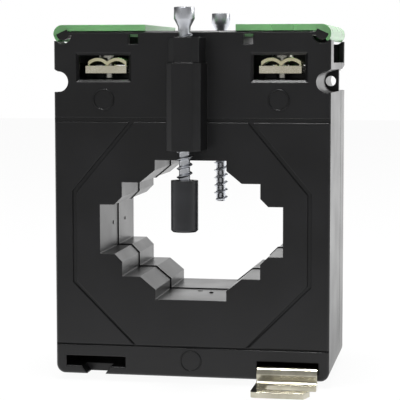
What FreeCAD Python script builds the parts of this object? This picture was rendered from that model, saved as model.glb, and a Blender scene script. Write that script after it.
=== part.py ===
# Current transformer with a stepped busbar window, built as a parametric document.
# Frame: X to the right, Y from the front face to the rear face, Z up, in millimetres.
# The origin is on the plane under the two feet, below the middle of the window.
import FreeCAD, Part

import math
import os
import re

import Sketcher
from FreeCAD import Placement, Rotation, Vector

doc = FreeCAD.newDocument("CurrentTransformer")
sheet = doc.addObject("Spreadsheet::Sheet", "Sizes")

SIZES = {
    # Housing
    "housing_width": 123,
    "housing_depth": 68.5,
    "housing_height": 153.2,
    "foot_drop": 3,
    "wall": 2.5,
    "corner_round": 4,
    "edge_bevel": 0.8,
    "joint_back": 15.5,
    "joint_groove": 0.6,
    # Window, for three flat bars and a round one
    "window_rise": 65.5,
    "wide_bar": 80,
    "wide_bar_thick": 20,
    "middle_bar": 60,
    "middle_bar_thick": 40,
    "narrow_bar": 30,
    "narrow_bar_thick": 60,
    "round_bar": 61,
    "bar_gap": 1,
    "step_cut": 3.5,
    "tube_wall": 2.4,
    "tube_joint_back": 0.5,
    # Panel lines on both faces
    "panel_line": 1.8,
    "fine_line": 0.8,
    "line_depth": 0.8,
    "top_line_drop": 38.2,
    "low_line_rise": 13,
    "panel_half_width": 53.5,
    "panel_top_half": 26,
    "panel_shoulder_rise": 82.5,
    "panel_hip_rise": 41.5,
    "panel_low_half": 25,
    # Ring core and its winding
    "coil_gap": 0.5,
    "tape": 0.3,
    "turns": 1.3,
    "core_build": 3.4,
    "core_length": 58.6,
    "ring_wall": 1.6,
    "ring_sides": 40,
    "lead_width": 2.4,
    "lead_inset": 3,
    # Terminal bays
    "terminal_out": 39,
    "bay_inner": 21.6,
    "bay_floor_drop": 21.3,
    "bay_ledge_drop": 14,
    "bay_floor": 2,
    "bay_wall": 2,
    "bay_wall_high": 12.6,
    "entry_width": 22.5,
    "entry_top_drop": 10.7,
    "entry_flare": 1.3,
    "side_entry_front": 22,
    "side_entry_back": 30,
    "latch_out": 25.5,
    "latch_width": 4.4,
    "latch_drop": 1.4,
    # Terminal bar, clamps and screws
    "strip_width": 18.7,
    "strip_thick": 3.3,
    "strip_length": 59,
    "strip_lift": 2.7,
    "rib_out": 10,
    "rib_width": 5,
    "clamp_out": 22,
    "clamp_width": 17.6,
    "clamp_depth": 10,
    "clamp_thick": 1.5,
    "clamp_land": 0.6,
    "arch_rise": 2.1,
    "clamp_screw": 5,
    "clamp_head": 9.4,
    "clamp_head_high": 3.2,
    "clamp_screw_long": 9,
    "drive_width": 1.2,
    "drive_length": 5.6,
    "drive_depth": 1.9,
    # Side notches with a lug
    "notch_drop": 22.3,
    "notch_height": 9.1,
    "notch_depth": 6.4,
    "notch_rise": 1.4,
    "notch_flare": 2.8,
    "lug_back": 5,
    "lug_thick": 3,
    "lug_hole": 4.7,
    "lug_inset": 3.6,
    # Hinged covers
    "cover_inner": 20,
    "cover_thick": 2.7,
    "hinge_inset": 4,
    "hinge_drop": 1.3,
    "hinge_rod": 4,
    "hinge_boss": 5.4,
    "shoulder_drop": 3,
    "hinge_web": 1.4,
    "hinge_web_reach": 5.5,
    "hinge_gap_start": 150,
    "hinge_gap_end": 305,
    "leg_thick": 1.4,
    "leg_long": 2.6,
    # Guide ridges for the bar screws
    "ridge_width": 15,
    "ridge_reach": 19,
    "ridge_bevel": 2.9,
    "ridge_top_drop": 3,
    "ridge_step_drop": 13.9,
    "ridge_bottom_drop": 51.7,
    "ridge_step": 0.8,
    # Bar screws and the cap
    "screw_out": 13.5,
    "screw_rise": 9.8,
    "screw_long": 91.5,
    "screw_shank": 7.2,
    "screw_head": 9,
    "screw_head_high": 5.2,
    "screw_cone": 3.2,
    "screw_neck": 5.4,
    "neck_run": 1.5,
    "slot_width": 1.6,
    "slot_depth": 2.4,
    "cap_width": 11.8,
    "cap_long": 22.2,
    "cap_bevel": 0.8,
    "cap_floor": 4.7,
    # Foot brackets and their pockets
    "foot_inner": 29.9,
    "foot_width": 26.7,
    "foot_sheet": 2.5,
    "foot_insert": 22,
    "foot_reach": 23.4,
    "foot_bend": 0.8,
    "foot_corner": 2.5,
    "foot_slant": 4,
    "foot_slot_width": 10,
    "foot_slot_start": 4.7,
    "foot_slot_out": 12.2,
    "pocket_rise": 3.6,
    "pocket_height": 4.6,
    "pocket_side": 0.3,
    "pocket_deep": 24,
    "pocket_lip": 0.5,
    "pocket_notch_top": 14,
    "pocket_notch_low": 7,
    "pocket_notch_deep": 8,
    # Clearances, and how far cuts run past a face and joined pieces into each other
    "rod_fit": 0.08,
    "thread_fit": 0.05,
    "loose_fit": 0.3,
    "cover_fit": 0.25,
    "seat_gap": 0.2,
    "overrun": 1,
    "overlap": 0.5,
}

for row, (alias, size) in enumerate(SIZES.items(), start=1):
    sheet.set("A%d" % row, str(size))
    sheet.setAlias("A%d" % row, alias)
doc.recompute()

WORDS = re.compile(r"[a-z]+(?:_[a-z]+)*")

# Levels and planes that several pieces share
TOP = "(foot_drop + housing_height)"
WINDOW = "(foot_drop + window_rise)"
HALF = "(housing_width / 2)"
FACE = "(housing_depth / 2)"
INSIDE = "(housing_depth / 2 - wall)"
BAY_FLOOR = "(foot_drop + housing_height - bay_floor_drop)"
STRIP_TOP = "(foot_drop + housing_height - bay_floor_drop + strip_lift + strip_thick)"
HEAD_SEAT = "(%s + arch_rise + clamp_thick)" % STRIP_TOP
HINGE_X = "(housing_width / 2 - hinge_inset)"
HINGE_Z = "(foot_drop + housing_height - hinge_drop)"
SCREW_Y = "(housing_depth / 2 + screw_out)"
BARREL = "(hinge_drop + cover_thick)"
TUBE_X = "(wide_bar / 2 + bar_gap + tube_wall)"
TUBE_Z = "(wide_bar_thick / 2 + bar_gap + tube_wall)"
COIL_INNER = "(sqrt(%s^2 + %s^2) + coil_gap)" % (TUBE_X, TUBE_Z)
COIL_OUTER = "(%s + 4 * tape + 2 * turns + core_build)" % COIL_INNER
LEAD_X = "(terminal_out - lead_inset)"
LEAD_Z = "(%s + sqrt(%s^2 - (%s - lead_width / 2)^2))" % (WINDOW, COIL_OUTER, LEAD_X)
NOTCH_IN = "(housing_width / 2 - notch_depth)"
NOTCH_Z = "(foot_drop + housing_height - notch_drop)"
BAY_LOWER_OUT = "(housing_width / 2 - notch_depth - wall)"
BAY_LEDGE = "(foot_drop + housing_height - bay_ledge_drop)"
POCKET_Z = "(foot_drop + pocket_rise)"


def size(alias):
    """Value of one driving dimension."""
    return float(sheet.get(alias))


def formula(text):
    """Formula with each size name pointed at the sheet."""
    return WORDS.sub(lambda word: "Sizes." + word.group() if word.group() in SIZES else word.group(), text)


def bind(item, field, text):
    item.setExpression(field, formula(text))


def negative(text):
    return "-(%s)" % text


def on_side(side, low, high):
    """Span along X or Y, mirrored for the negative side."""
    if side > 0:
        return low, high
    return negative(high), negative(low)


def centred(middle, width):
    return "(%s) - (%s) / 2" % (middle, width), "(%s) + (%s) / 2" % (middle, width)


def box(name, x, y, z):
    """Box between three pairs of formulas."""
    item = doc.addObject("Part::Box", name)
    for field, axis, (low, high) in zip(("Length", "Width", "Height"), "xyz", (x, y, z)):
        bind(item, field, "(%s) - (%s)" % (high, low))
        bind(item, "Placement.Base." + axis, low)
    return item


TURNS = {
    "x": Rotation(Vector(0, 1, 0), 90),
    "y": Rotation(Vector(1, 0, 0), -90),
    "z": Rotation(),
}


def round_bar(name, axis, base, radius, length):
    """Cylinder along one axis, from its base centre."""
    item = doc.addObject("Part::Cylinder", name)
    item.Placement = Placement(Vector(), TURNS[axis])
    for field, text in zip("xyz", base):
        bind(item, "Placement.Base." + field, text)
    bind(item, "Radius", radius)
    bind(item, "Height", length)
    return item


def outline(sketch, points):
    """Closed outline whose corners follow formulas."""
    first = sketch.GeometryCount
    count = len(points)
    for index in range(count):
        start = 2 * math.pi * index / count
        end = 2 * math.pi * (index + 1) / count
        line = Part.LineSegment(
            Vector(10 * math.cos(start), 10 * math.sin(start), 0),
            Vector(10 * math.cos(end), 10 * math.sin(end), 0),
        )
        sketch.addGeometry(line)
    for index in range(count):
        following = (index + 1) % count
        sketch.addConstraint(Sketcher.Constraint("Coincident", first + index, 2, first + following, 1))
    for index, (across, along) in enumerate(points):
        for kind, text in (("DistanceX", across), ("DistanceY", along)):
            number = sketch.addConstraint(Sketcher.Constraint(kind, -1, 1, first + index, 1, 1.0))
            bind(sketch, "Constraints[%d]" % number, text)


# Sketch planes: the plane's turn, the direction of its extrusion and its offset field
PLANES = {
    "XZ": (Rotation(Vector(1, 0, 0), 90), Vector(0, 1, 0), "y"),
    "YZ": (Rotation(Vector(1, 1, 1), 120), Vector(1, 0, 0), "x"),
    "XY": (Rotation(), Vector(0, 0, 1), "z"),
}


def prism(name, plane, points, low, high):
    """Outline drawn on one plane and extruded between two levels."""
    turn, direction, field = PLANES[plane]
    sketch = doc.addObject("Sketcher::SketchObject", name + "_sketch")
    outline(sketch, points)
    sketch.Placement = Placement(Vector(), turn)
    bind(sketch, "Placement.Base." + field, low)
    item = doc.addObject("Part::Extrusion", name)
    item.Base = sketch
    item.DirMode = "Custom"
    item.Dir = direction
    item.Solid = True
    bind(item, "LengthFwd", "(%s) - (%s)" % (high, low))
    return item


def fuse(name, items):
    item = doc.addObject("Part::MultiFuse", name)
    item.Shapes = items
    item.Refine = True
    return item


def cut(name, base, tools):
    tool = tools[0] if len(tools) == 1 else fuse(name + "_tools", tools)
    item = doc.addObject("Part::Cut", name)
    item.Base = base
    item.Tool = tool
    item.Refine = True
    return item


def common(name, base, tool):
    item = doc.addObject("Part::Common", name)
    item.Base = base
    item.Tool = tool
    item.Refine = True
    return item


def eased(kind, name, base, choices):
    """Fillet or chamfer on the edges of the base that each chooser picks, with its size."""
    doc.recompute()
    edges = []
    for choose, amount in choices:
        picked = [number for number, edge in enumerate(base.Shape.Edges, start=1) if choose(edge)]
        edges += [(number, amount, amount) for number in picked]
    item = doc.addObject(kind, name)
    item.Base = base
    item.Edges = edges
    return item


def middle(edge):
    return edge.valueAt((edge.FirstParameter + edge.LastParameter) / 2)


def runs_along(edge, axis):
    box_of_edge = edge.BoundBox
    spans = {"x": box_of_edge.XLength, "y": box_of_edge.YLength, "z": box_of_edge.ZLength}
    return all((span < 0.001) != (name == axis) for name, span in spans.items())


def labelled(item, label):
    item.Label = label
    return item


# Housing: one block with every cut, parted afterwards into the two shells

def window_points(grow):
    """Stepped window outline about its centre, grown on every side."""
    bars = ("wide_bar", "middle_bar", "narrow_bar")
    wide, middle_wide, narrow = ["(%s / 2 + bar_gap + %s)" % (bar, grow) for bar in bars]
    low, middle_high, high = ["(%s_thick / 2 + bar_gap + %s)" % (bar, grow) for bar in bars]
    reach = "(round_bar / 2 + bar_gap / 2 + %s)" % grow
    quarter = [
        (wide, low),
        (middle_wide + " + step_cut", low),
        (middle_wide, low + " + step_cut"),
        (middle_wide, middle_high),
        ("sqrt(%s^2 - %s^2)" % (reach, middle_high), middle_high),
        (narrow, "sqrt(%s^2 - %s^2)" % (reach, narrow)),
        (narrow, high),
    ]
    points = []
    for across, up in ((1, 1), (-1, 1), (-1, -1), (1, -1)):
        corners = quarter if across * up > 0 else quarter[::-1]
        for x, z in corners:
            level = "%s %s (%s)" % (WINDOW, "+" if up > 0 else "-", z)
            points.append((x if across > 0 else negative(x), level))
    return points


def housing_block():
    whole = box(
        "block",
        (negative(HALF), HALF),
        (negative(FACE), FACE),
        ("foot_drop", TOP),
    )
    base = size("foot_drop")

    def low_corner(edge):
        return runs_along(edge, "y") and middle(edge).z < base + 0.01

    corners = eased("Part::Fillet", "block_corners", whole, [(low_corner, size("corner_round"))])
    face = size("housing_depth") / 2

    def face_rim(edge):
        return edge.BoundBox.YLength < 0.001 and abs(abs(middle(edge).y) - face) < 0.01

    return eased("Part::Chamfer", "block_edges", corners, [(face_rim, size("edge_bevel"))])


def housing_cavity():
    """Hollow for the ring core, stepped under the terminal bays and notches."""
    inside_y = (negative(INSIDE), INSIDE)
    floor = "foot_drop + wall"
    side = "housing_width / 2 - wall"
    low_z = (floor, NOTCH_Z + " - notch_height / 2 - wall")
    low = box("cavity_low", (negative(side), side), inside_y, low_z)
    under_bays = (negative(BAY_LOWER_OUT), BAY_LOWER_OUT)
    mid = box("cavity_mid", under_bays, inside_y, (floor, BAY_FLOOR + " - bay_floor"))
    inner = "bay_inner - bay_floor"
    high = box("cavity_high", (negative(inner), inner), inside_y, (floor, TOP + " - wall"))
    return [low, mid, high]


def octagon_points(apothem):
    short = "(%s) * tan(22.5)" % apothem
    turn = [(apothem, short), (short, apothem)]
    points = []
    for across, up in ((1, 1), (-1, 1), (-1, -1), (1, -1)):
        corners = turn if across * up > 0 else turn[::-1]
        for x, z in corners:
            level = "%s %s (%s)" % (WINDOW, "+" if up > 0 else "-", z)
            points.append((x if across > 0 else negative(x), level))
    return points


def ring_seat():
    """Eight-sided wall inside the housing that holds the ring core."""
    inner = "(%s + coil_gap)" % COIL_OUTER
    outer = "(%s + coil_gap + ring_wall)" % COIL_OUTER
    body = prism("ring_seat_outer", "XZ", octagon_points(outer), negative(INSIDE), INSIDE)
    through = (negative(INSIDE) + " - overrun", INSIDE + " + overrun")
    hollow = prism("ring_seat_inner", "XZ", octagon_points(inner), through[0], through[1])
    return cut("ring_seat", body, [hollow])


def pocket_block(side, face, tag):
    """Solid corner of the housing around one foot pocket."""
    x = on_side(side, "foot_inner - wall", HALF + " - wall / 2")
    y = on_side(face, FACE + " - pocket_deep - wall", FACE + " - wall / 2")
    return box("pocket_block_" + tag, x, y, ("foot_drop + wall / 2", POCKET_Z + " + pocket_height + wall"))


def pocket_cuts(side, face, tag):
    """Foot pocket with its bevelled lip and the notch below it."""
    x = on_side(side, "foot_inner - pocket_side", "foot_inner + foot_width + pocket_side")
    y = on_side(face, FACE + " - pocket_deep", FACE + " + overrun")
    slot = box("pocket_" + tag, x, y, (POCKET_Z, POCKET_Z + " + pocket_height"))
    edge = FACE if face > 0 else negative(FACE)
    inward = "-" if face > 0 else "+"
    outward = "+" if face > 0 else "-"
    lip_points = [
        ("%s %s pocket_lip" % (edge, inward), POCKET_Z),
        (edge, POCKET_Z + " - pocket_lip"),
        ("%s %s overrun" % (edge, outward), POCKET_Z + " - pocket_lip"),
        ("%s %s overrun" % (edge, outward), POCKET_Z + " + overlap"),
        ("%s %s pocket_lip" % (edge, inward), POCKET_Z + " + overlap"),
    ]
    lip = prism("pocket_lip_" + tag, "YZ", lip_points, x[0], x[1])
    centre = ("%s(foot_inner + foot_width / 2)" % ("" if side > 0 else "-"))
    notch_points = [
        (centre + " - pocket_notch_top / 2", POCKET_Z + " + overlap"),
        (centre + " - pocket_notch_low / 2", "foot_drop - overrun"),
        (centre + " + pocket_notch_low / 2", "foot_drop - overrun"),
        (centre + " + pocket_notch_top / 2", POCKET_Z + " + overlap"),
    ]
    notch_y = on_side(face, FACE + " - pocket_notch_deep", FACE + " + overrun")
    notch = prism("pocket_notch_" + tag, "XZ", notch_points, notch_y[0], notch_y[1])
    return [slot, lip, notch]


def bay_cuts(side, tag):
    """Terminal bay: deep over the terminal bar, shallower out to the side entry."""
    inside_y = (negative(INSIDE), INSIDE)
    over = TOP + " + overrun"
    deep = box("bay_deep_" + tag, on_side(side, "bay_inner", BAY_LOWER_OUT), inside_y, (BAY_FLOOR, over))
    wide_x = on_side(side, "bay_inner", HALF + " - wall")
    wide = box("bay_wide_" + tag, wide_x, inside_y, (BAY_LEDGE, over))
    entry_y = ("-side_entry_front", "side_entry_back")
    side_x = on_side(side, HALF + " - wall - overrun", HALF + " + overrun")
    side_entry = box("side_entry_" + tag, side_x, entry_y, (BAY_LEDGE, over))
    relief = round_bar(
        "hinge_relief_" + tag,
        "y",
        (on_side(side, HINGE_X, HINGE_X)[0], negative(FACE) + " - overrun", HINGE_Z),
        BARREL + " + cover_fit",
        "housing_depth + 2 * overrun",
    )
    shoulder = box(
        "hinge_shoulder_" + tag,
        on_side(side, HINGE_X, HALF + " + overrun"),
        (negative(FACE) + " - overrun", FACE + " + overrun"),
        (HINGE_Z + " - shoulder_drop", over),
    )
    return [deep, wide, side_entry, relief, shoulder]


def hinge_rail(side, tag):
    """Rod that the cover turns on, thicker in the walls and carried by a web along the housing."""
    x = on_side(side, HINGE_X, HINGE_X)[0]
    rod = round_bar("hinge_rod_" + tag, "y", (x, negative(FACE), HINGE_Z), "hinge_rod / 2", "housing_depth")
    bosses = []
    for face in (-1, 1):
        start = (x, on_side(face, INSIDE, FACE)[0], HINGE_Z)
        name = "hinge_boss_%s_%s" % (tag, face_name(face))
        bosses.append(round_bar(name, "y", start, "hinge_boss / 2", "wall"))
    web_x = on_side(side, HINGE_X + " - hinge_web_reach", HINGE_X)
    web = box("hinge_web_" + tag, web_x, (negative(FACE), FACE), centred(HINGE_Z, "hinge_web"))
    return [rod, web] + bosses


def bay_partition(side, tag):
    """Wall between the front and rear clamp, with a gap that the terminal bar passes."""
    near = "bay_inner - overlap"
    low = BAY_FLOOR + " - overlap"
    top = BAY_FLOOR + " + bay_wall_high"
    points = [
        (near, low),
        (BAY_LOWER_OUT + " + overlap", low),
        (BAY_LOWER_OUT + " + overlap", BAY_LEDGE + " - overlap"),
        (HALF + " - wall", BAY_LEDGE + " - overlap"),
        (HALF + " - wall", top),
        (near, top),
    ]
    y = centred("-rib_out", "bay_wall")
    mirrored = [("%d * (%s)" % (side, x), z) for x, z in points]
    wall = prism("bay_wall_" + tag, "XZ", mirrored, y[0], y[1])
    gap = box(
        "bar_gap_" + tag,
        centred("%d * terminal_out" % side, "strip_width + 2 * loose_fit"),
        (y[0] + " - overrun", y[1] + " + overrun"),
        (BAY_FLOOR + " + strip_lift", STRIP_TOP + " + loose_fit"),
    )
    return cut("bay_partition_" + tag, wall, [gap])


def strip_ribs(side, tag):
    ribs = []
    for face in (-1, 1):
        x = centred("%d * terminal_out" % side, "strip_width")
        y = centred("%d * rib_out" % face, "rib_width")
        z = (BAY_FLOOR + " - overlap", BAY_FLOOR + " + strip_lift")
        ribs.append(box("strip_rib_%s_%s" % (tag, face_name(face)), x, y, z))
    return ribs


def face_name(face):
    return "front" if face < 0 else "rear"


def entry_cuts(side, face, tag):
    """Wire entry through one face, with a flared mouth."""
    x = centred("%d * terminal_out" % side, "entry_width")
    y = on_side(face, INSIDE + " - overrun", FACE + " + overrun")
    hole = box("entry_" + tag, x, y, (BAY_FLOOR, TOP + " - entry_top_drop"))
    mouth = doc.addObject("Part::Wedge", "entry_mouth_" + tag)
    outer_x = centred("%d * terminal_out" % side, "entry_width + 2 * entry_flare")
    outer_z = (BAY_FLOOR + " - entry_flare", TOP + " - entry_top_drop + entry_flare")
    inner_z = (BAY_FLOOR, TOP + " - entry_top_drop")
    spans = (outer_x, outer_z, x, inner_z) if face < 0 else (x, inner_z, outer_x, outer_z)
    fields = (("Xmin", "Xmax"), ("Zmin", "Zmax"), ("X2min", "X2max"), ("Z2min", "Z2max"))
    for (low_field, high_field), (low, high) in zip(fields, spans):
        bind(mouth, low_field, low)
        bind(mouth, high_field, high)
    mouth_y = on_side(face, FACE + " - entry_flare", FACE)
    bind(mouth, "Ymin", mouth_y[0])
    bind(mouth, "Ymax", mouth_y[1])
    latch_z = (TOP + " - latch_drop - latch_width", TOP + " - latch_drop")
    latch = box("latch_" + tag, centred("%d * latch_out" % side, "latch_width"), y, latch_z)
    return [hole, mouth, latch]


def notch_cuts(side, tag):
    """Side notch open to both faces, with a rising roof and the lug's hole half way."""
    cuts = []
    bottom, roof = centred(NOTCH_Z, "notch_height")
    bend = NOTCH_IN + " + notch_height / 2"
    beyond = HALF + " + overrun"
    points = [(bend, bottom), (beyond, bottom), (beyond, roof + " + notch_rise"), (bend, roof)]
    mirrored = [("%d * (%s)" % (side, x), z) for x, z in points]
    lug_front = "lug_back - lug_thick / 2"
    lug_rear = "lug_back + lug_thick / 2"
    front = ("front", negative(FACE) + " - overrun", lug_front)
    rear = ("rear", lug_rear, FACE + " + overrun")
    for part, low, high in (front, rear):
        cuts.append(prism("notch_%s_%s" % (part, tag), "XZ", mirrored, low, high))
        base = (on_side(side, bend, bend)[0], low, NOTCH_Z)
        run = "(%s) - (%s)" % (high, low)
        cuts.append(round_bar("notch_end_%s_%s" % (part, tag), "y", base, "notch_height / 2", run))
    flare_points = [
        ("joint_back", roof + " - overlap"),
        (FACE + " + overrun", roof + " - overlap"),
        (FACE + " + overrun", roof + " + notch_flare"),
        ("joint_back", roof),
    ]
    outer = on_side(side, bend, beyond)
    cuts.append(prism("notch_flare_" + tag, "YZ", flare_points, outer[0], outer[1]))
    x = on_side(side, HALF + " - lug_inset", HALF + " - lug_inset")[0]
    start = (x, lug_front + " - overrun", NOTCH_Z)
    cuts.append(round_bar("lug_hole_" + tag, "y", start, "lug_hole / 2", "lug_thick + 2 * overrun"))
    return cuts


def panel_points(side_in, line, low_line):
    """Eight-sided panel outline, moved inwards for the groove's inner edge."""
    corner = math.tan(math.radians(22.5))
    top = "%s - top_line_drop - %s * %g" % (TOP, line, side_in)
    bottom = "foot_drop + low_line_rise + %s * %g" % (low_line, side_in)
    half = "(panel_half_width - %s * %g)" % (line, side_in)
    right = [
        ("(panel_low_half - %s * %g)" % (low_line, side_in * corner), bottom),
        (half, "foot_drop + panel_hip_rise + %s * %g" % (low_line, side_in * corner)),
        (half, "foot_drop + panel_shoulder_rise - %s * %g" % (line, side_in * corner)),
        ("(panel_top_half - %s * %g)" % (line, side_in * corner), top),
    ]
    left = [(negative(x), z) for x, z in reversed(right)]
    return right + left


def panel_lines(face):
    """Grooves that frame the middle of a face and cross it above and below."""
    tag = face_name(face)
    y = on_side(face, FACE + " - line_depth", FACE + " + overrun")
    outer = prism("panel_outer_" + tag, "XZ", panel_points(0, "panel_line", "fine_line"), y[0], y[1])
    over = (y[0] + " - overrun", y[1] + " + overrun")
    inner = prism("panel_inner_" + tag, "XZ", panel_points(1, "panel_line", "fine_line"), over[0], over[1])
    frame = cut("panel_frame_" + tag, outer, [inner])
    across = (negative(HALF) + " - overrun", HALF + " + overrun")
    top_z = (TOP + " - top_line_drop - panel_line", TOP + " - top_line_drop")
    top = box("top_line_" + tag, across, y, top_z)
    low_z = ("foot_drop + low_line_rise", "foot_drop + low_line_rise + fine_line")
    low = box("low_line_" + tag, across, y, low_z)
    return [frame, top, low]


def ridge(face):
    """Guide for one bar screw, standing out from a face."""
    tag = face_name(face)

    def plan(shrink):
        half = "(ridge_width / 2 - %s)" % shrink
        nose = "(housing_depth / 2 + ridge_reach - %s)" % shrink
        root = "(housing_depth / 2 - overrun)"
        points = [
            (half, root),
            (half, nose + " - ridge_bevel"),
            (half + " - ridge_bevel", nose),
            ("-(%s - ridge_bevel)" % half, nose),
            (negative(half), nose + " - ridge_bevel"),
            (negative(half), root),
        ]
        return [(x, y if face > 0 else negative(y)) for x, y in points]

    bottom = TOP + " - ridge_bottom_drop"
    step = TOP + " - ridge_step_drop"
    lower = prism("ridge_low_" + tag, "XY", plan("0"), bottom, step)
    top = TOP + " - ridge_top_drop"
    upper = prism("ridge_high_" + tag, "XY", plan("ridge_step"), step + " - overrun", top)
    return [lower, upper]


def ridge_cuts(face):
    tag = face_name(face)
    y = on_side(face, SCREW_Y, SCREW_Y)[0]
    bottom = TOP + " - ridge_bottom_drop - overrun"
    radius = "screw_shank / 2 + thread_fit"
    return [round_bar("ridge_bore_" + tag, "z", ("0", y, bottom), radius, "ridge_bottom_drop + overrun")]


def lead_hole(side, tag):
    x = on_side(side, LEAD_X, LEAD_X)[0]
    length = "%s - %s + overrun" % (BAY_FLOOR, LEAD_Z)
    return round_bar("lead_hole_" + tag, "z", (x, "0", LEAD_Z), "lead_width / 2 + loose_fit", length)


def parting():
    """Region of the front shell: up to the outer joint, less the rear tube."""
    reach = "housing_width"
    z = ("foot_drop - overrun", TOP + " + hinge_rod")
    front = box("front_region", (negative(reach), reach), (negative(reach), "joint_back"), z)
    tube_back = "joint_back + overrun"
    tube = prism("rear_tube_region", "XZ", window_points("tube_wall"), "tube_joint_back", tube_back)
    return cut("front_shell_region", front, [tube])


def joint_lines():
    """Shallow grooves where the shells meet, outside and in the window."""
    y = ("joint_back", "joint_back + joint_groove")
    z = ("foot_drop - overrun", TOP + " + hinge_rod")
    outside = box("joint_outer", ("-housing_width", "housing_width"), y, z)
    edge = HALF + " - joint_groove"
    kept_y = ("joint_back - overrun", "joint_back + joint_groove + overrun")
    kept_z = ("foot_drop + joint_groove", TOP + " + hinge_rod + overrun")
    groove = cut("joint_line", outside, [box("joint_inner", (negative(edge), edge), kept_y, kept_z)])
    tube = prism(
        "tube_line",
        "XZ",
        window_points("joint_groove"),
        "tube_joint_back",
        "tube_joint_back + joint_groove",
    )
    return [groove, tube]


def build_housing():
    sides = ((-1, "s1"), (1, "s2"))
    hollow = cut("housing_hollow", housing_block(), housing_cavity())
    tube_y = (negative(INSIDE) + " - overlap", INSIDE + " + overlap")
    tube = prism("window_tube", "XZ", window_points("tube_wall"), tube_y[0], tube_y[1])
    blocks = [hollow, tube, ring_seat()]
    for side, side_tag in sides:
        for face in (-1, 1):
            blocks.append(pocket_block(side, face, side_tag + "_" + face_name(face)))
    blocks += ridge(-1) + ridge(1)
    body = fuse("housing_body", blocks)
    through = (negative(FACE) + " - overrun", FACE + " + overrun")
    cuts = [prism("window", "XZ", window_points("0"), through[0], through[1])]
    for side, side_tag in sides:
        cuts += bay_cuts(side, side_tag)
        cuts += notch_cuts(side, side_tag)
        for face in (-1, 1):
            tag = side_tag + "_" + face_name(face)
            cuts += pocket_cuts(side, face, tag)
            cuts += entry_cuts(side, face, tag)
    for face in (-1, 1):
        cuts += panel_lines(face)
        cuts += ridge_cuts(face)
    cuts += joint_lines()
    carved = cut("housing_carved", body, cuts)
    added = [carved]
    for side, side_tag in sides:
        added += hinge_rail(side, side_tag) + strip_ribs(side, side_tag)
        added.append(bay_partition(side, side_tag))
    finished = fuse("housing_finished", added)
    holes = [lead_hole(side, side_tag) for side, side_tag in sides]
    drilled = cut("housing_drilled", finished, holes)
    region = parting()
    labelled(common("front_half", drilled, region), "front_shell")
    labelled(cut("rear_half", drilled, [region]), "rear_shell")


# Bodies drawn with sketches on their own planes

def body_plane(body, role):
    return [feature for feature in body.Origin.OriginFeatures if feature.Role == role][0]


def body_sketch(body, name, role, loops, offset="0"):
    """Sketch of closed outlines on one origin plane of a body."""
    sketch = body.newObject("Sketcher::SketchObject", name)
    sketch.AttachmentSupport = (body_plane(body, role), [""])
    sketch.MapMode = "FlatFace"
    for loop in loops:
        outline(sketch, loop)
    bind(sketch, "AttachmentOffset.Base.z", offset)
    return sketch


def turned(label, loops):
    """Body turned about its own Z axis from outlines in its XZ plane."""
    body = doc.addObject("PartDesign::Body", label)
    sketch = body_sketch(body, label + "_profile", "XZ_Plane", loops)
    feature = body.newObject("PartDesign::Revolution", label + "_turn")
    feature.Profile = sketch
    feature.ReferenceAxis = (sketch, ["V_Axis"])
    feature.Angle = 360
    return body


def pocketed(body, name, loop, level, depth):
    """Pocket cut downwards from one level of a turned body."""
    doc.recompute()
    sketch = body_sketch(body, name + "_sketch", "XY_Plane", [loop], level)
    feature = body.newObject("PartDesign::Pocket", name)
    feature.Profile = sketch
    bind(feature, "Length", depth)
    return body


def place(body, x, y, z):
    for field, text in zip("xyz", (x, y, z)):
        bind(body, "Placement.Base." + field, text)
    return body


# Ring core and its winding, about the window's axis

def many_sided(name, radius, half):
    """Block about the window's axis whose outline comes near to a circle."""
    ring = doc.addObject("Part::RegularPolygon", name + "_outline")
    bind(ring, "Polygon", "ring_sides")
    bind(ring, "Circumradius", radius)
    ring.Placement = Placement(Vector(), TURNS["y"])
    bind(ring, "Placement.Base.y", negative(half))
    bind(ring, "Placement.Base.z", WINDOW)
    item = doc.addObject("Part::Extrusion", name)
    item.Base = ring
    item.DirMode = "Custom"
    item.Dir = Vector(0, 1, 0)
    item.Solid = True
    bind(item, "LengthFwd", "2 * (%s)" % half)
    return item


def ring(name, layer):
    """Ring that is left after taking off some depth of layers all round."""
    half = "core_length / 2 + 2 * tape + turns - (%s)" % layer
    outer = many_sided(name + "_outer", "%s - (%s)" % (COIL_OUTER, layer), half)
    inner = many_sided(name + "_inner", "%s + %s" % (COIL_INNER, layer), half + " + overrun")
    return cut(name, outer, [inner])


def build_ring():
    """Layers of the ring, each closed round the one inside it."""
    labels = ("winding_tape", "secondary_winding", "core_wrap")
    depths = ("0", "tape", "tape + turns", "2 * tape + turns")
    rings = [ring("ring_%d" % number, depth) for number, depth in enumerate(depths)]
    for label, outer, inner in zip(labels, rings, rings[1:]):
        labelled(cut(label + "_layer", outer, [inner]), label)
    labelled(rings[-1], "core")


# Terminals

def build_strip(side, tag):
    x = centred("%d * terminal_out" % side, "strip_width")
    low = BAY_FLOOR + " + strip_lift"
    strip = box("strip_" + tag, x, centred("0", "strip_length"), (low, STRIP_TOP))
    holes = []
    radius = "clamp_screw / 2 + thread_fit"
    for face in (-1, 1):
        base = ("%d * terminal_out" % side, "%d * clamp_out" % face, low + " - overrun")
        name = "strip_hole_%s_%s" % (tag, face_name(face))
        holes.append(round_bar(name, "z", base, radius, "strip_thick + 2 * overrun"))
    labelled(cut("strip_cut_" + tag, strip, holes), "terminal_bar_" + tag)


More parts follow.
